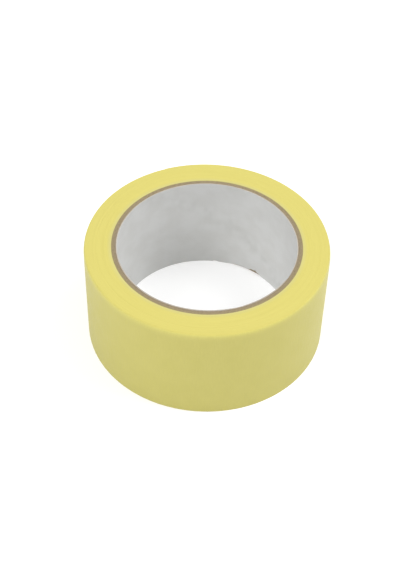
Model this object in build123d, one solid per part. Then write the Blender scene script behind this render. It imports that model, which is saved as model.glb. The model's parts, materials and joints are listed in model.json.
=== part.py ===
from build123d import *
from math import asin, degrees, pi, tan
import os

# A full roll of masking tape, lying on its side.
# Millimetres and degrees. +Z is the roll's axis, and the origin is the centre of its bottom face.

# Driving dimensions
TAPE_WIDTH = 48.0           # width of the strip, and so the height of the roll
CORE_BORE_RADIUS = 38.1     # inside of a standard 3 inch core
LINER_THICKNESS = 0.4       # white paper that lines the bore
PLY_COUNT = 4               # brown kraft plies around the liner
PLY_THICKNESS = 0.5
PLY_STRIP_WIDTH = 125.0     # width of the paper that each kraft ply is wound from
PLY_SEAM_GAP = 0.3          # open butt joint between one turn of a ply and the next
FIRST_SEAM_ANGLE = 15.0     # where the seam of the innermost ply meets the bottom face
ROLL_RADIUS = 52.1          # mean radius of the outside of the roll
TAPE_THICKNESS = 0.13       # creped paper with its adhesive
ADHESIVE_THICKNESS = 0.02   # left open under the free tail, where the adhesive lets go
TAIL_COUNT = 6              # stretches that the peelable end bends in
TAIL_SEGMENT_LENGTH = 7.0   # along the strip
FREE_END_ANGLE = 113.0      # of the strip's free end, counterclockwise from +X

# The strip winds outwards counterclockwise as half turns about two centres, so that each half
# turn meets the next with no kink and every full turn is one tape thickness further out.
# The strip is drawn with its free end on +X, and is then turned to FREE_END_ANGLE.
HALF_TURN = 180.0
FIRST_CENTRE = Vector(-TAPE_THICKNESS / 4, 0)
SECOND_CENTRE = Vector(TAPE_THICKNESS / 4, 0)
FIRST_RADIUS = ROLL_RADIUS - 1.25 * TAPE_THICKNESS      # inside of the outermost turn, first half
SECOND_RADIUS = FIRST_RADIUS + TAPE_THICKNESS / 2       # and second half
TAIL_SEGMENT_ANGLE = degrees(TAIL_SEGMENT_LENGTH / (SECOND_RADIUS + TAPE_THICKNESS))
TAIL_START = 2 * HALF_TURN - TAIL_COUNT * TAIL_SEGMENT_ANGLE

CORE_RADIUS = CORE_BORE_RADIUS + LINER_THICKNESS + PLY_COUNT * PLY_THICKNESS


def ring(inner_radius, outer_radius):
    """Plain tube as wide as the tape."""
    return extrude(Circle(outer_radius) - Circle(inner_radius), TAPE_WIDTH)


def helical_seam(inner_radius, outer_radius):
    """Cutter for the open joint that a spirally wound ply leaves, right through its thickness."""
    middle = (inner_radius + outer_radius) / 2
    helix = asin(PLY_STRIP_WIDTH / (2 * pi * middle))
    lead = 2 * pi * middle * tan(helix)
    length = TAPE_WIDTH + 2 * PLY_SEAM_GAP
    section = Pos(middle, 0, -PLY_SEAM_GAP) * Rectangle(2 * PLY_THICKNESS, PLY_SEAM_GAP)
    return Solid.extrude_linear_with_rotation(
        section.face(),
        center=(0, 0, -PLY_SEAM_GAP),
        normal=(0, 0, length),
        angle=360 * length / lead,
    )


def core_liner():
    """White liner: its edges overlap and are glued, so it is a closed ring."""
    return ring(CORE_BORE_RADIUS, CORE_BORE_RADIUS + LINER_THICKNESS)


def core_ply(number):
    """One kraft ply. Each seam is turned away from the seam of the ply inside it."""
    inner_radius = CORE_BORE_RADIUS + LINER_THICKNESS + (number - 1) * PLY_THICKNESS
    outer_radius = inner_radius + PLY_THICKNESS
    seam_angle = FIRST_SEAM_ANGLE + (number - 1) * 360 / PLY_COUNT
    seam = helical_seam(inner_radius, outer_radius).rotate(Axis.Z, seam_angle)
    return ring(inner_radius, outer_radius) - seam


def first_half(lift):
    """Arc of the first half of the outermost turn, lifted off the turn below it."""
    return CenterArc(FIRST_CENTRE, FIRST_RADIUS + lift, 0, HALF_TURN)


def second_half(lift, start=HALF_TURN, end=2 * HALF_TURN):
    """Arc of the second half of the outermost turn, between two angles from the free end."""
    return CenterArc(SECOND_CENTRE, SECOND_RADIUS + lift, start, end - start)


def in_place(face):
    """Solid as wide as the tape, turned so that the free end lies at its angle."""
    return extrude(face, TAPE_WIDTH).rotate(Axis.Z, FREE_END_ANGLE)


def strip(under, top):
    """Stretch of the strip between the arcs under it and the arcs on top of it."""
    ends = [Line(under[0] @ 0, top[0] @ 0), Line(under[-1] @ 1, top[-1] @ 1)]
    return in_place(make_face([*under, *top, *ends]))


def tape_wound_turns():
    """All the turns under the outermost one, with the step where the strip climbs onto them."""
    first, second = first_half(0), second_half(0)
    step = Line(second @ 1, first @ 0)
    return in_place(make_face([first, second, step]) - Circle(CORE_RADIUS))


def tape_outer_turn():
    """The outermost turn, from the step to the root of the tail."""
    under = [first_half(0), second_half(0, end=TAIL_START)]
    top = [first_half(TAPE_THICKNESS), second_half(TAPE_THICKNESS, end=TAIL_START)]
    return strip(under, top)


def tape_tail(number):
    """One stretch of the free tail. It clears the turn below by the thickness of the adhesive."""
    start = TAIL_START + (number - 1) * TAIL_SEGMENT_ANGLE
    end = start + TAIL_SEGMENT_ANGLE
    return strip([second_half(ADHESIVE_THICKNESS, start, end)], [second_half(TAPE_THICKNESS, start, end)])


def nodes():
    """Every node of the roll by name, from the bore outwards."""
    parts = {"core_liner": core_liner()}
    for number in range(1, PLY_COUNT + 1):
        parts[f"core_ply_{number}"] = core_ply(number)
    parts["tape_wound_turns"] = tape_wound_turns()
    parts["tape_outer_turn"] = tape_outer_turn()
    for number in range(1, TAIL_COUNT + 1):
        parts[f"tape_tail_{number}"] = tape_tail(number)
    return parts


os.makedirs("parts", exist_ok=True)
for name, shape in nodes().items():
    export_step(shape, f"parts/{name}.step")
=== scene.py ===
import bpy
import json
import math
import numpy as np
from mathutils import Matrix, Vector


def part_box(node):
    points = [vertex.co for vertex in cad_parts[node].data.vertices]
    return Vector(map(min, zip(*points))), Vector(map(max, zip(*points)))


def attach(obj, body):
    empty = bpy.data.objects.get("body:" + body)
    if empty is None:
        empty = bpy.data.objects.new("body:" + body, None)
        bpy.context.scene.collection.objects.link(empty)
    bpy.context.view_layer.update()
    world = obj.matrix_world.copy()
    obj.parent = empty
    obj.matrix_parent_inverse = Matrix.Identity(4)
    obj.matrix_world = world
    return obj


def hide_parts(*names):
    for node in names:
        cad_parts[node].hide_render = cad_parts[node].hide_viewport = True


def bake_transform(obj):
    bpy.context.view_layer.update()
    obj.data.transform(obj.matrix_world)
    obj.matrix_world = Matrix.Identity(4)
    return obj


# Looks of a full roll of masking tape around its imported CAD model. Metres, in the CAD's frame.
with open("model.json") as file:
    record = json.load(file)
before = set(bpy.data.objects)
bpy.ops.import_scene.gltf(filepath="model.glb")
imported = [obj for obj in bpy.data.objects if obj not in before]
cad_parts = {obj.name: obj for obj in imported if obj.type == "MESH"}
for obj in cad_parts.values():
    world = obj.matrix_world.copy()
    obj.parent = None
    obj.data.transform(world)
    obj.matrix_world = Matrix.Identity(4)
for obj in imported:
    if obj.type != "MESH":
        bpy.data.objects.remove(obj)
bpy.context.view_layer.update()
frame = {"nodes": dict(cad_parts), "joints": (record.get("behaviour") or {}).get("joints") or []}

MM = 0.001
TURN = 2 * math.pi
WHITE = (1.0, 1.0, 1.0)


# ---------------------------------------------------------------- sizes, read from the frame

def node_corners(node):
    """Corners of a CAD node's mesh, one row each."""
    return np.array([corner.co for corner in frame["nodes"][node].data.vertices])


def node_radii(node):
    """Smallest and largest distance of a CAD node's corners from the roll's axis."""
    corners = node_corners(node)
    distance = np.hypot(corners[:, 0], corners[:, 1])
    return distance.min(), distance.max()


def angle_of(point):
    """Angle of a point round the roll's axis, from +X towards +Y."""
    return math.atan2(point[1], point[0])


JOINTS = frame["joints"]
PLY_NODES = sorted(name for name in frame["nodes"] if name.startswith("core_ply"))
TAIL_NODES = [joint["child"] for joint in JOINTS]
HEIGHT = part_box("tape_wound_turns")[1].z
BORE_RADIUS, LINER_RADIUS = node_radii("core_liner")
CORE_RADIUS = node_radii("tape_wound_turns")[0]
TIP_RADIUS = node_radii(TAIL_NODES[-1])[1]                          # outside of the free end
STRIP = TIP_RADIUS - node_radii("tape_wound_turns")[1]              # thickness of the tape
LIFT = node_radii(TAIL_NODES[-1])[0] - node_radii("tape_wound_turns")[1]    # gap under the tail

hinges = [Vector(joint["pos_m"]) for joint in JOINTS]
tail_corners = node_corners(TAIL_NODES[-1])
free_end = Vector(max(tail_corners, key=lambda corner: math.hypot(corner[0], corner[1])))
ROOT_ANGLE = angle_of(hinges[0])
TAIL_TURNS = (angle_of(free_end) - ROOT_ANGLE) / TURN


def outside(turn):
    """Radius of the strip's outer face. turn counts from the root of the tail, towards the free end."""
    return TIP_RADIUS + STRIP * (turn - TAIL_TURNS)


def round_the_axis(radius, angle, height):
    """Points at a radius, an angle and a height, as an array whose last axis is x, y, z."""
    radius, angle, height = np.broadcast_arrays(radius, angle, height)
    return np.stack([radius * np.cos(angle), radius * np.sin(angle), height], -1)


# ---------------------------------------------------------------- random fields

LEAST_CELLS = 4         # of a random field, along u
CELLS_ACROSS = 512      # of a random field, along v, before it repeats


def smooth_step(share):
    """Share from 0 to 1 that starts and ends without a jump in slope."""
    return share**2 * (3 - 2 * share)


def noise_field(seed, period, cell_u, cell_v):
    """Smooth random field from 0 to 1. Along u it repeats after period, so it closes round the roll."""
    around = max(LEAST_CELLS, round(period / cell_u))
    across = CELLS_ACROSS
    lattice = np.random.default_rng(seed).random((around, across))

    def at(u, v):
        column, share_u = np.divmod(np.asarray(u) / period * around, 1)
        row, share_v = np.divmod(np.asarray(v) / cell_v, 1)
        column, row = column.astype(int), row.astype(int)
        share_u, share_v = smooth_step(share_u), smooth_step(share_v)
        near = lattice[column % around, row % across] * (1 - share_v)
        near = near + lattice[column % around, (row + 1) % across] * share_v
        far = lattice[(column + 1) % around, row % across] * (1 - share_v)
        far = far + lattice[(column + 1) % around, (row + 1) % across] * share_v
        return near * (1 - share_u) + far * share_u

    return at


# ---------------------------------------------------------------- meshes

UV_MAP = "surface_mm"       # millimetres along the surface and across it


def finished(name, points, faces, face_uv, materials, material_of_face, sharp_angle=35):
    """Object from points, faces and one UV pair for each face corner, smooth up to sharp_angle."""
    mesh = bpy.data.meshes.new(name)
    mesh.from_pydata(points.reshape(-1, 3).tolist(), [], faces)
    layer = mesh.uv_layers.new(name=UV_MAP)
    layer.data.foreach_set("uv", np.asarray(face_uv, np.float32).ravel())
    for material in materials:
        mesh.materials.append(material)
    mesh.polygons.foreach_set("material_index", np.asarray(material_of_face, np.int32))
    mesh.update()
    mesh.shade_smooth()
    mesh.set_sharp_from_angle(angle=math.radians(sharp_angle))
    piece = bpy.data.objects.new(name, mesh)
    bpy.context.scene.collection.objects.link(piece)
    return piece


def skin(name, points, uv, materials, material_of_column, closed):
    """Closed skin over a row of profiles. points is [station, place in profile, xyz], and each profile is
    a loop. uv has one more place than points, and one more station if the row of profiles is closed too."""
    stations, places = points.shape[:2]
    i = np.arange(stations if closed else stations - 1)[:, None]
    j = np.arange(places)[None]
    corners = [(i, j), (i + 1, j), (i + 1, j + 1), (i, j + 1)]
    faces = np.stack([(a % stations) * places + b % places for a, b in corners], -1).reshape(-1, 4).tolist()
    face_uv = np.stack([uv[a, b] for a, b in corners], -2).reshape(-1, 2)
    material_of_face = np.tile(material_of_column, len(i))
    if not closed:
        last = (stations - 1) * places
        faces.append(list(range(places - 1, -1, -1)))
        faces.append(list(range(last, last + places)))
        face_uv = np.concatenate([face_uv, uv[0, places - 1::-1], uv[-1, :places]])
        material_of_face = np.append(material_of_face, [0, 0])
    return finished(name, points, faces, face_uv, materials, material_of_face)


# ---------------------------------------------------------------- materials

MIX_A, MIX_B, MIX_COLOUR = 6, 7, 2      # places of the colour sockets on a Mix node


def add_node(tree, kind, inputs=None, **settings):
    """Shader node with its settings, and with inputs that are numbers, colours or other nodes' outputs."""
    node = tree.nodes.new(kind)
    for name, value in settings.items():
        setattr(node, name, value)
    for name, value in (inputs or {}).items():
        if isinstance(value, bpy.types.NodeSocket):
            tree.links.new(value, node.inputs[name])
        else:
            node.inputs[name].default_value = value
    return node


def surface_noise(tree, cell_u, cell_v, detail=2.0, roughness=0.55):
    """Noise over the surface, with cells of a size in millimetres along and across the strip."""
    uv = add_node(tree, "ShaderNodeUVMap", uv_map=UV_MAP).outputs["UV"]
    cells = (1 / cell_u, 1 / cell_v, 1)
    scaled = add_node(tree, "ShaderNodeMapping", {"Vector": uv, "Scale": cells}).outputs["Vector"]
    inputs = {"Vector": scaled, "Scale": 1.0, "Detail": detail, "Roughness": roughness}
    return add_node(tree, "ShaderNodeTexNoise", inputs, noise_dimensions="2D").outputs["Fac"]


def surface_v(tree):
    """Second coordinate of the surface: height on the strip's faces, and turn on the roll's sides."""
    uv = add_node(tree, "ShaderNodeUVMap", uv_map=UV_MAP).outputs["UV"]
    return add_node(tree, "ShaderNodeSeparateXYZ", {"Vector": uv}).outputs["Y"]


def between(tree, factor, low, high, start=0.35, end=0.65):
    """Number or colour that goes from low to high as factor goes from start to end. Noise seldom leaves the
    range that start and end are set to by default."""
    share = add_node(tree, "ShaderNodeMapRange", {"Value": factor, "From Min": start, "From Max": end})
    if not isinstance(low, tuple):
        share.inputs["To Min"].default_value = low
        share.inputs["To Max"].default_value = high
        return share.outputs["Result"]
    mix = add_node(tree, "ShaderNodeMix", data_type="RGBA")
    tree.links.new(share.outputs["Result"], mix.inputs["Factor"])
    mix.inputs[MIX_A].default_value = (*low, 1)
    mix.inputs[MIX_B].default_value = (*high, 1)
    return mix.outputs[MIX_COLOUR]


def multiplied(tree, colour, other):
    """One colour times another."""
    mix = add_node(tree, "ShaderNodeMix", data_type="RGBA", blend_type="MULTIPLY")
    mix.inputs["Factor"].default_value = 1.0
    tree.links.new(colour, mix.inputs[MIX_A])
    tree.links.new(other, mix.inputs[MIX_B])
    return mix.outputs[MIX_COLOUR]


def bumps(tree, *layers):
    """Normal from layers of (height, depth in metres), one on top of the other."""
    normal = None
    for height, depth in layers:
        inputs = {"Height": height, "Distance": depth, "Strength": 1.0}
        if normal is not None:
            inputs["Normal"] = normal
        normal = add_node(tree, "ShaderNodeBump", inputs).outputs["Normal"]
    return normal


def shader(name):
    """New material, with its node tree and its Principled shader."""
    material = bpy.data.materials.new(name)
    material.use_nodes = True
    tree = material.node_tree
    return material, tree, tree.nodes["Principled BSDF"]


def painted_edge_glow(tree):
    """Painted glow: how much lighter the strip's colour is made near its upper edge, standing in for light
    that comes through from the cut side.
    """
    reach, gain, steepness = 5.0, 0.26, 3.0
    top = HEIGHT / MM
    near_edge = between(tree, surface_v(tree), 0.0, 1.0, start=top - reach, end=top)
    near_edge = add_node(tree, "ShaderNodeMath", {0: near_edge, 1: steepness}, operation="POWER").outputs[0]
    return between(tree, near_edge, WHITE, (1 + gain, 1 + gain, 1 + gain), start=0.0, end=1.0)


def crepe_material():
    """Outer face of the tape: pale yellow creped paper with a sealed, slightly glossy surface."""
    material, tree, principled = shader("crepe_paper")
    cloud = surface_noise(tree, 9.0, 9.0, detail=3.0)
    crease = surface_noise(tree, 0.45, 5.0, detail=3.0, roughness=0.6)
    fibre = surface_noise(tree, 0.16, 0.5, detail=2.0)
    colour = between(tree, cloud, (0.469, 0.427, 0.116), (0.479, 0.436, 0.122))
    colour = multiplied(tree, colour, between(tree, crease, (0.965, 0.96, 0.94), WHITE))
    # Painted glow near the upper edge, standing in for light coming through the paper.
    colour = multiplied(tree, colour, painted_edge_glow(tree))
    tree.links.new(colour, principled.inputs["Base Color"])
    tree.links.new(between(tree, crease, 0.42, 0.56), principled.inputs["Roughness"])
    normal = bumps(tree, (crease, 0.035 * MM), (fibre, 0.02 * MM))
    tree.links.new(normal, principled.inputs["Normal"])
    principled.inputs["Specular IOR Level"].default_value = 0.3
    return material


def edge_material():
    """Side faces of the roll: the cut edges of many turns, paler next to the core."""
    material, tree, principled = shader("tape_edges")
    ring = surface_noise(tree, 60.0, 1.3, detail=3.0, roughness=0.7)
    cloud = surface_noise(tree, 16.0, 30.0, detail=2.0)
    colour = between(tree, surface_v(tree), (0.552, 0.505, 0.185), (0.575, 0.513, 0.141), start=3.0, end=14.0)
    colour = multiplied(tree, colour, between(tree, ring, (0.955, 0.95, 0.92), WHITE))
    colour = multiplied(tree, colour, between(tree, cloud, (0.98, 0.98, 0.96), WHITE))
    tree.links.new(colour, principled.inputs["Base Color"])
    tree.links.new(between(tree, ring, 0.62, 0.78), principled.inputs["Roughness"])
    tree.links.new(bumps(tree, (ring, 0.02 * MM)), principled.inputs["Normal"])
    principled.inputs["Specular IOR Level"].default_value = 0.3
    return material


def adhesive_material():
    """Inner face of the tape: clear tacky adhesive over the paper."""
    material, tree, principled = shader("adhesive")
    cloud = surface_noise(tree, 4.0, 4.0, detail=3.0)
    crease = surface_noise(tree, 0.5, 5.0, detail=2.0)
    colour = between(tree, cloud, (0.50, 0.43, 0.145), (0.53, 0.465, 0.175))
    colour = multiplied(tree, colour, between(tree, crease, (0.94, 0.93, 0.90), WHITE))
    tree.links.new(colour, principled.inputs["Base Color"])
    tree.links.new(between(tree, cloud, 0.28, 0.40), principled.inputs["Roughness"])
    tree.links.new(bumps(tree, (crease, 0.02 * MM)), principled.inputs["Normal"])
    principled.inputs["Specular IOR Level"].default_value = 0.5
    return material


def liner_material():
    """White liner paper in the bore, mottled where the board and the glue show through, with painted shade
    low down at the back.
    """
    material, tree, principled = shader("liner_paper")
    cloud = surface_noise(tree, 9.0, 7.0, detail=4.0, roughness=0.5)
    fibre = surface_noise(tree, 0.5, 0.3, detail=2.0)
    stain_and_shade = add_node(tree, "ShaderNodeAttribute", attribute_name="stain_and_shade").outputs["Fac"]
    colour = between(tree, cloud, (0.572, 0.572, 0.560), (0.604, 0.606, 0.598))
    # Darker where stained along the seam, and painted shade low down at the back.
    colour = multiplied(tree, colour, between(tree, stain_and_shade, WHITE, (0.82, 0.82, 0.81), start=0.0, end=1.0))
    colour = multiplied(tree, colour, between(tree, fibre, (0.97, 0.97, 0.965), WHITE))
    tree.links.new(colour, principled.inputs["Base Color"])
    tree.links.new(between(tree, cloud, 0.6, 0.75), principled.inputs["Roughness"])
    tree.links.new(bumps(tree, (fibre, 0.012 * MM), (cloud, 0.05 * MM)), principled.inputs["Normal"])
    principled.inputs["Specular IOR Level"].default_value = 0.25
    return material


def cut_material():
    """Cut ends of the liner: greyish brown, frayed paper."""
    material, tree, principled = shader("cut_liner")
    fibre = surface_noise(tree, 0.8, 0.15, detail=3.0)
    colour = between(tree, fibre, (0.38, 0.345, 0.287), (0.50, 0.457, 0.392))
    tree.links.new(colour, principled.inputs["Base Color"])
    tree.links.new(between(tree, fibre, 0.75, 0.9), principled.inputs["Roughness"])
    tree.links.new(bumps(tree, (fibre, 0.03 * MM)), principled.inputs["Normal"])
    principled.inputs["Specular IOR Level"].default_value = 0.2
    return material


def board_material(number):
    """Brown kraft board of one ply, with long fibres. The plies nearer the tape are a little yellower:
    painted yellow light bounced from the tape.
    """
    material, tree, principled = shader(f"kraft_board_{number}")
    share = (number - 1) / max(1, len(PLY_NODES) - 1)
    # Painted bounce light: the plies nearer the tape are made yellower, as if lit by light bounced from the
    # tape.
    dark = (0.205 + 0.02 * share, 0.162 + 0.02 * share, 0.108 - 0.01 * share)
    light = (0.357 + 0.02 * share, 0.29 + 0.02 * share, 0.198 - 0.02 * share)
    fibre = surface_noise(tree, 1.4, 0.12, detail=4.0, roughness=0.7)
    speck = surface_noise(tree, 0.35, 0.35, detail=2.0)
    colour = between(tree, fibre, dark, light, start=0.3, end=0.7)
    colour = multiplied(tree, colour, between(tree, speck, (0.88, 0.87, 0.85), WHITE))
    tree.links.new(colour, principled.inputs["Base Color"])
    tree.links.new(between(tree, fibre, 0.8, 0.95), principled.inputs["Roughness"])
    tree.links.new(bumps(tree, (fibre, 0.05 * MM), (speck, 0.03 * MM)), principled.inputs["Normal"])
    principled.inputs["Specular IOR Level"].default_value = 0.15
    return material


def floor_material():
    """Plain white studio table, lit a little from within."""
    material, tree, principled = shader("floor_white")
    principled.inputs["Base Color"].default_value = (0.72, 0.72, 0.72, 1)
    principled.inputs["Roughness"].default_value = 0.9
    principled.inputs["Specular IOR Level"].default_value = 0.1
    principled.inputs["Emission Color"].default_value = (1, 1, 1, 1)
    principled.inputs["Emission Strength"].default_value = 0.34
    return material


CREPE = crepe_material()
EDGES = edge_material()
ADHESIVE = adhesive_material()
LINER = liner_material()


# ---------------------------------------------------------------- the wound tape

# The rims of the roll are pressed in: how far in, and from how far up or down. The upper one is the softer.
TOP_RIM = (0.8 * MM, 2.0 * MM)
BOTTOM_RIM = (0.2 * MM, 0.7 * MM)
EDGE_DROP = 0.25 * MM       # the outermost turn's edges stay this far inside the roll's sides
FACE_GAP = 0.02 * MM        # and the highest turn's edge this far


def bent_in(distance, reach, depth):
    """Quarter of an ellipse: depth at no distance from a plane, and nothing at reach from it or more."""
    share = np.clip(1 - distance / reach, 0, 1)
    return depth * (1 - np.sqrt(1 - share**2))


def rim_inset(height):
    """How far the outside of the roll is pressed in at a height."""
    return bent_in(HEIGHT - height, TOP_RIM[1], TOP_RIM[0]) + bent_in(height, BOTTOM_RIM[1], BOTTOM_RIM[0])


def side_drop(radius, rim):
    """How far a side of the roll lies under its plane at a radius, because of its rim."""
    return bent_in(TIP_RADIUS - radius, rim[0], rim[1])


WINDING_STEPS = 240         # points to a turn
WOUND_TURNS = int((outside(-2) - CORE_RADIUS) / STRIP)
FIRST_TURN = -1 - WOUND_TURNS
GROOVE_DEPTH = 0.022 * MM   # from the turns' edges to the groove between them
CORE_STEP = 0.1 * MM        # how much lower than the grooves the winding starts at the core
TURN_DRIFT = 0.05 * MM      # how far single turns lie in from the sides of the roll
PACK_DRIFT = 0.10 * MM      # and packs of some turns
UNREPEATED = 1000           # turns, more than the roll has
DRIFT_ROWS = (7.0, 3.0)     # of the two random fields; the roll's sides read the rows next to these
turn_drift = noise_field(3, UNREPEATED, 0.55, 1.0)
pack_drift = noise_field(4, UNREPEATED, 6.0, 1.0)


def side_points(turn, across, depth, sign):
    """Points on the roll's upper side, sign 1, or its lower one, sign -1. across is the place in the strip's
    thickness, from 0 inside to 1 outside, and depth is how far they lie in from the turns' edges."""
    rim = TOP_RIM if sign > 0 else BOTTOM_RIM
    pressed = 1 - bent_in(EDGE_DROP, rim[1], rim[0]) / (TIP_RADIUS - CORE_RADIUS)
    radius = CORE_RADIUS + (outside(turn) - STRIP + across * STRIP - CORE_RADIUS) * pressed
    turn_row, pack_row = DRIFT_ROWS
    loose = TURN_DRIFT * turn_drift(turn, turn_row + sign) + PACK_DRIFT * pack_drift(turn, pack_row + sign)
    fall = FACE_GAP + depth + loose + side_drop(radius, rim)
    height = HEIGHT / 2 + sign * (HEIGHT / 2 - fall)
    return round_the_axis(radius, ROOT_ANGLE + TURN * turn, height)


def ribbon(near, far):
    """Quads between two lines of points, and the UVs of their corners: millimetres round the roll, and turns
    from the core. A line is the numbers of its points, the turn of each, and what to add to it in the UV."""
    here, next_one = slice(None, -1), slice(1, None)
    corners = [(near, here), (near, next_one), (far, next_one), (far, here)]
    quads = np.stack([numbers[part] for (numbers, _, _), part in corners], -1)
    round_mm = [(ROOT_ANGLE + TURN * turn[part]) * CORE_RADIUS / MM for (_, turn, _), part in corners]
    turn_number = [turn[part] - FIRST_TURN + more for (_, turn, more), part in corners]
    return quads, np.stack([np.stack(round_mm, -1), np.stack(turn_number, -1)], -1)


def winding():
    """Every turn under the outermost one, as one spiral: each turn's two edges stand out as fine ridges."""
    steps, last = WINDING_STEPS, WOUND_TURNS * WINDING_STEPS
    groove_turn = FIRST_TURN + np.arange(last + steps + 1) / steps
    edge_turn = groove_turn[:last + 1]
    core_turn = groove_turn[:steps + 1]
    core_angle = ROOT_ANGLE + TURN * np.arange(steps) / steps
    points, lines, faces, uv = [], {}, [], []

    def add_ribbon(near, far, order=1):
        quads, quad_uv = ribbon(near, far)
        faces.extend(quads[:, ::order].tolist())
        uv.append(quad_uv[:, ::order].reshape(-1, 2))

    for sign in (1, -1):
        core_height = HEIGHT / 2 + sign * (HEIGHT / 2 - FACE_GAP - GROOVE_DEPTH - CORE_STEP)
        groove = sum(len(block) for block in points) + np.arange(len(groove_turn))
        edge = groove[-1] + 1 + np.arange(len(edge_turn))
        core = edge[-1] + 1 + np.arange(steps + 1) % steps
        lines[sign] = groove, edge, core
        points.append(side_points(groove_turn, 0.0, GROOVE_DEPTH, sign))
        points.append(side_points(edge_turn, 0.5, 0.0, sign))
        points.append(round_the_axis(CORE_RADIUS, core_angle, core_height))
        add_ribbon((groove[:last + 1], edge_turn, 0.0), (edge, edge_turn, 0.5), sign)
        add_ribbon((edge, edge_turn, 0.5), (groove[steps:], edge_turn, 1.0), sign)
        add_ribbon((core, core_turn, 0.0), (groove[:steps + 1], core_turn, 0.0), sign)

    top_groove, top_edge, top_core = lines[1]
    low_groove, low_edge, low_core = lines[-1]
    rim_turn = groove_turn[last:]
    add_ribbon((low_groove[last:], rim_turn, 0.0), (top_groove[last:], rim_turn, 0.0))
    add_ribbon((top_core, core_turn, 0.0), (low_core, core_turn, 0.0))
    ends = [[low_groove[last], top_groove[last], top_edge[-1], low_edge[-1]],
            [low_edge[-1], top_edge[-1], top_groove[-1], low_groove[-1]],
            [top_groove[steps], top_edge[0], top_groove[0], top_core[0]],
            [low_core[0], low_groove[0], low_edge[0], low_groove[steps]]]
    faces.extend([[int(number) for number in end] for end in ends])
    uv.append(np.zeros((4 * len(ends), 2)))
    piece = finished("tape_winding", np.concatenate(points), faces, np.concatenate(uv), [EDGES],
                     np.zeros(len(faces)), sharp_angle=60)
    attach(piece, "roll")
    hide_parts("tape_wound_turns")


CREPE_DEPTH = 0.035 * MM        # of the folds and swells of the creped face
FOLD_SHARE = 0.65               # of that depth, for the folds
OUTER_TURN_COLUMNS = 1450       # of the mesh, round the outermost turn
TAIL_COLUMN = 0.19 * MM         # spacing of the mesh's columns along the free end
TORN_DEPTH = 0.55 * MM          # how far back the tear at the free end reaches
FINE_TEAR = 0.4                 # size of the tear's fine teeth next to its coarse ones
STRIP_LENGTH = TURN * TIP_RADIUS * (1 + TAIL_TURNS)     # of the outermost turn and the tail
crepe_folds = noise_field(11, STRIP_LENGTH, 0.6 * MM, 5 * MM)
crepe_swells = noise_field(12, STRIP_LENGTH, 14 * MM, 17 * MM)


def crepe(turn, height):
    """How far the creped face lies under the plain outside of the strip."""
    along = (turn + 1) * TURN * TIP_RADIUS
    fold = np.abs(2 * crepe_folds(along, height) - 1)
    return CREPE_DEPTH * (FOLD_SHARE * fold + (1 - FOLD_SHARE) * crepe_swells(along, height))


def strip_heights():
    """Heights of the points up the strip's outer face, closer together at its rims."""
    rim_rows, face_rows, crowding = 8, 40, 1.6
    share = np.linspace(0, 1, rim_rows + 1)[:-1]**crowding
    low = EDGE_DROP + (BOTTOM_RIM[1] - EDGE_DROP) * share[::2]
    high = HEIGHT - EDGE_DROP - (TOP_RIM[1] - EDGE_DROP) * share[::-1]
    return np.concatenate([low, np.linspace(BOTTOM_RIM[1], HEIGHT - TOP_RIM[1], face_rows), high])


def strip_piece(name, start, end, columns, band=False, lift=0.0, ragged=0.0):
    """A stretch of the strip between two turns, creped outside and plain inside. A band has a straight inner
    wall, which lies on the winding. ragged is how far back the tear at its end reaches."""
    up = strip_heights()
    down = up[[-1, 0]] if band else up[::-1]
    height = np.concatenate([up, down])[None]
    turn = np.linspace(start, end, columns)[:, None] + 0 * height
    coarse = noise_field(21, 1, 1, 1.1 * MM)(0, height)
    fine = noise_field(22, 1, 1, 0.35 * MM)(0, height)
    share = (turn - start) / (end - start)
    turn = turn - ragged * (coarse + FINE_TEAR * fine) / (1 + FINE_TEAR) / (TURN * TIP_RADIUS) * share
    inset = rim_inset(height) + 0 * turn
    inset[:, :len(up)] += crepe(turn, height)[:, :len(up)]
    inset[:, len(up):] += STRIP - lift
    points = round_the_axis(outside(turn) - inset, ROOT_ANGLE + TURN * turn, height)
    uv = np.stack([turn * TURN * TIP_RADIUS / MM, height / MM + 0 * turn], -1)
    uv = np.concatenate([uv, uv[:, :1]], 1)
    material_of_column = np.zeros(height.size)
    material_of_column[len(up):height.size - 1] = 1
    return skin(name, points, uv, [CREPE, ADHESIVE], material_of_column, closed=False)


def outer_turn():
    """The outermost turn: the strip from under the root of the tail, once round, to the root."""
    piece = strip_piece("tape_outer_turn_skin", -1.0, 0.0, OUTER_TURN_COLUMNS, band=True)
    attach(piece, "roll")
    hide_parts("tape_outer_turn")


def strip_point(turn):
    """Point on the strip's outer face, half way up."""
    return round_the_axis(outside(turn), ROOT_ANGLE + TURN * turn, HEIGHT / 2)


def tail():
    """The free end: one piece for each hinge. A piece runs between the middles of the stretches that its
    hinge joins, and the last one to the end of the strip."""
    marks = [(angle_of(mark) - ROOT_ANGLE) / TURN for mark in [*hinges, free_end]]
    middles = [(before + after) / 2 for before, after in zip(marks, marks[1:])]
    starts = [marks[0], *middles[:-1]]
    ends = [*middles[:-1], marks[-1]]
    for k, node in enumerate(TAIL_NODES):
        torn = TORN_DEPTH if node == TAIL_NODES[-1] else 0.0
        columns = round((ends[k] - starts[k]) * TURN * TIP_RADIUS / TAIL_COLUMN)
        piece = strip_piece(f"{node}_skin", starts[k], ends[k], columns, lift=LIFT, ragged=torn)
        strip_point(starts[k])
        strip_point(middles[k])
        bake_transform(piece)
        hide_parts(node)


# ---------------------------------------------------------------- the core

PLY_LEAD = 145.7 * MM           # rise of the plies' helix in one turn
SEAM_ANGLE = math.radians(15)   # of the innermost ply's seam at the bottom
SEAM_GAP = 0.3 * MM
PLY_CLEARANCE = 0.015 * MM      # between a ply's faces and its CAD solid's
PLY_STATIONS = 700              # of the mesh, round a ply
PLY_FRAY = 0.09 * MM            # how far single fibres at a ply's ends stand back,
PLY_SAG = 0.10 * MM             # longer stretches of them,
PLY_CORNER = 0.05 * MM          # and their corners


def seam_at(height, number):
    """Angle of a ply's open seam at a height."""
    return SEAM_ANGLE + (number - 1) * TURN / len(PLY_NODES) + TURN * height / PLY_LEAD


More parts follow.
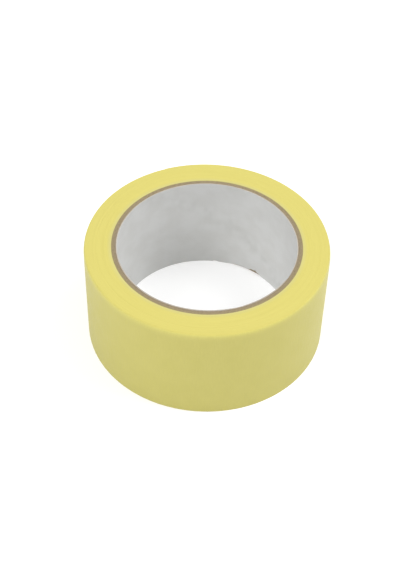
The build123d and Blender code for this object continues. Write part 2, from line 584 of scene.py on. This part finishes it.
def ply_profile():
    """Places round a ply's cross section: share of its thickness from inside, and share of its height."""
    up = np.linspace(0, 1, 9)
    across = np.linspace(0, 1, 6)[1:-1]
    thickness_share = np.concatenate([np.ones(len(up)), across[::-1], np.zeros(len(up)), across])
    height_share = np.concatenate([up, np.ones(len(across)), up[::-1], np.zeros(len(across))])
    return thickness_share, height_share


def core_ply(number):
    """One kraft ply: a helical band with an open butt seam, and rough fibrous ends."""
    node = f"core_ply_{number}"
    inner, outer = node_radii(node)
    thickness_share, height_share = ply_profile()
    radius = inner + PLY_CLEARANCE + thickness_share[None] * (outer - inner - 2 * PLY_CLEARANCE)
    height = height_share[None] * HEIGHT
    gap = SEAM_GAP / outer
    share = np.linspace(0, 1, PLY_STATIONS)[:, None]
    angle = seam_at(height, number) + gap / 2 + share * (TURN - gap)
    fray = noise_field(40 + number, TURN, 0.011, 0.12 * MM)(angle, radius)
    sag = noise_field(50 + number, TURN, 0.2, 1 * MM)(angle, 0 * radius)
    at_corner = np.abs(2 * thickness_share - 1) > 0.9
    at_top, at_bottom = height_share >= 1, height_share <= 0
    lowered = FACE_GAP + PLY_FRAY * fray + PLY_SAG * sag + PLY_CORNER * at_corner
    height = height + lowered * (at_bottom * 1.0 - at_top * 1.0)
    points = round_the_axis(radius, angle, height)
    across_mm = (radius + np.minimum(height, HEIGHT - height)) / MM
    uv = np.stack([angle * outer / MM, across_mm + 0 * angle], -1)
    uv = np.concatenate([uv, uv[:, :1]], 1)
    piece = skin(f"{node}_board", points, uv, [board_material(number)], np.zeros(radius.size), closed=False)
    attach(piece, "roll")
    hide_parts(node)


# Tears in the liner's edges: angle of the middle and half width in degrees, and depth
TOP_TEARS = [(-27, 6, 1.1 * MM), (-14, 9, 0.4 * MM), (-70, 5, 0.25 * MM), (150, 4, 0.12 * MM)]
BOTTOM_TEARS = [(54.5, 6, 2.0 * MM), (66, 10, 0.8 * MM), (84, 2.2, 0.6 * MM), (-130, 5, 0.5 * MM)]
EDGE_FUZZ = 0.04 * MM           # how far the fibres of the untorn edges stand back
RAGGED = 0.4                    # share of a tear's depth that varies along it
# Painted shade: the liner is made darker low down at the back of the bore: middle and half width as angles,
# and height
PAINTED_SHADE_PATCH = (math.radians(98), math.radians(34), 30 * MM)
LINER_STATIONS, LINER_ROWS = 720, 50
LINER_CLEARANCE = 0.01 * MM     # between its outer face and the innermost ply
BORE_SWELL = 0.05 * MM          # how far its inner face swells outwards
SINK_DEPTH, SINK_WIDTH = 0.05 * MM, 0.8 * MM    # of the groove where it sinks into the seam
LAP_RISE, LAP_WIDTH = 0.04 * MM, 2 * MM         # of the lap of its glued edges
STAIN_WIDTH = 7 * MM            # of the stain along the seam, on each side of it


def angle_off(angle, middle):
    """Angle from a middle, from minus half a turn to half a turn."""
    return (angle - middle + math.pi) % TURN - math.pi


def tear_depth(angle, tears, seed):
    """How far the liner's edge is torn back at an angle."""
    rough = noise_field(seed, TURN, 0.03, 1.0)(angle, 0)
    depth = EDGE_FUZZ * rough
    for middle, half_width, deepest in tears:
        off = angle_off(angle, math.radians(middle))
        bell = np.clip(1 - (off / math.radians(half_width))**2, 0, 1)
        depth = depth + deepest * bell * (1 - RAGGED + RAGGED * rough)
    return depth


def bore_radius(angle, height):
    """Radius of the liner's inner face: it sinks into the seam under it, and laps over itself opposite."""
    swell = noise_field(33, TURN, 0.25, 11 * MM)(angle, height)
    from_seam = angle_off(angle, seam_at(height, 1)) * BORE_RADIUS
    from_lap = angle_off(angle, seam_at(height, 1) + math.pi) * BORE_RADIUS
    groove = np.exp(-(from_seam / SINK_WIDTH)**2)
    lap = np.clip(1.5 - np.abs(from_lap / LAP_WIDTH), 0, 1)
    return BORE_RADIUS + BORE_SWELL * swell + SINK_DEPTH * groove - LAP_RISE * lap


def stain_and_shade_on_liner(angle, height):
    """How strongly the liner is darkened, from 0 to about 1: stained in speckles along the seam, and painted
    shade low down at the back.
    """
    speckle = noise_field(34, TURN, 0.05, 3 * MM)(angle, height)
    from_seam = angle_off(angle, seam_at(height, 1)) * BORE_RADIUS
    along_seam = np.exp(-(from_seam / STAIN_WIDTH)**2)
    middle, half_width, top = PAINTED_SHADE_PATCH
    # Painted shade low down at the back of the bore.
    painted_shade = np.exp(-(angle_off(angle, middle) / half_width)**2) * np.clip(1 - height / top, 0, 1)
    return 0.5 * along_seam * speckle + painted_shade


def liner():
    """White liner of the bore, torn at its edges: a closed ring of paper with a smooth outer face."""
    angle = (TURN * np.arange(LINER_STATIONS) / LINER_STATIONS)[:, None]
    top = HEIGHT - FACE_GAP - tear_depth(angle, TOP_TEARS, 31)
    bottom = FACE_GAP + tear_depth(angle, BOTTOM_TEARS, 32)
    inner_height = bottom + (top - bottom) * np.linspace(0, 1, LINER_ROWS)[None]
    outer_height = bottom + (top - bottom) * np.array([[1.0, 0.0]])
    height = np.concatenate([inner_height, outer_height], 1)
    outer_radius = np.full_like(outer_height, LINER_RADIUS - LINER_CLEARANCE)
    radius = np.concatenate([bore_radius(angle, inner_height), outer_radius], 1)
    points = round_the_axis(radius, angle, height)
    round_mm = np.append(angle, [[TURN]], 0) * BORE_RADIUS / MM
    height_mm = np.append(height, height[:1], 0) / MM
    uv = np.stack(np.broadcast_arrays(round_mm, height_mm), -1)
    uv = np.concatenate([uv, uv[:, :1]], 1)
    material_of_row = np.zeros(LINER_ROWS + 2)
    material_of_row[[1, LINER_ROWS + 1]] = 1
    materials = [LINER, cut_material()]
    piece = skin("liner_paper", points[:, ::-1], uv[:, ::-1], materials, material_of_row, closed=True)
    # Stain along the seam and painted shade low down at the back, for the liner's material.
    stain_and_shade = stain_and_shade_on_liner(angle, height)
    attribute = piece.data.attributes.new("stain_and_shade", "FLOAT", "POINT")
    attribute.data.foreach_set("value", stain_and_shade[:, ::-1].astype(np.float32).ravel())
    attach(piece, "roll")
    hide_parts("core_liner")


# ---------------------------------------------------------------- stage, camera and light

FLOOR_REACH = 4.0       # metres from the roll to each edge of the floor


def floor():
    """Plain pale floor under the roll."""
    reach = FLOOR_REACH
    corners = [(-reach, -reach, 0), (reach, -reach, 0), (reach, reach, 0), (-reach, reach, 0)]
    mesh = bpy.data.meshes.new("floor")
    mesh.from_pydata(corners, [], [(0, 1, 2, 3)])
    mesh.materials.append(floor_material())
    stage = bpy.data.objects.new("floor", mesh)
    bpy.context.scene.collection.objects.link(stage)


def camera():
    """Camera in front of the roll and above it, rolled a little to one side."""
    elevation, distance, roll = math.radians(46.14), 0.5255, math.radians(1.79)
    aim = Vector((0.5 * MM, -2.8 * MM, HEIGHT / 2))
    data = bpy.data.cameras.new("camera")
    data.sensor_width = 36
    data.lens = 75.6
    data.clip_start, data.clip_end = 0.01, 20
    back = Vector((0, -math.cos(elevation), math.sin(elevation)))
    eye = bpy.data.objects.new("camera", data)
    eye.rotation_mode = "QUATERNION"
    eye.rotation_quaternion = back.to_track_quat("Z", "Y") @ Matrix.Rotation(roll, 3, "Z").to_quaternion()
    eye.location = aim + back * distance
    bpy.context.scene.collection.objects.link(eye)
    bpy.context.scene.camera = eye


def area_light(name, place, size, power):
    """Soft square light that faces the roll."""
    data = bpy.data.lights.new(name, "AREA")
    data.shape = "SQUARE"
    data.size = size
    data.energy = power
    light = bpy.data.objects.new(name, data)
    light.location = place
    light.rotation_mode = "QUATERNION"
    light.rotation_quaternion = Vector(place).to_track_quat("Z", "Y")
    bpy.context.scene.collection.objects.link(light)


def studio_light():
    """Soft lights above on both sides, in front and on the right, and a pale room."""
    area_light("upper_right", (0.8, 0.1, 1.1), 0.8, 10.5)
    area_light("upper_left", (-0.8, 0.1, 1.1), 0.8, 3.4)
    area_light("front", (-0.6, -0.85, 1.0), 0.9, 10.4)
    area_light("right", (1.3, 0.1, 0.6), 0.8, 3.2)
    world = bpy.data.worlds.new("room")
    world.use_nodes = True
    background = world.node_tree.nodes["Background"]
    background.inputs["Color"].default_value = (1, 1, 1, 1)
    background.inputs["Strength"].default_value = 0.527
    scene = bpy.context.scene
    scene.world = world
    scene.view_settings.view_transform = "Standard"


camera()
winding()
outer_turn()
tail()
for ply in range(1, len(PLY_NODES) + 1):
    core_ply(ply)
liner()
floor()
studio_light()
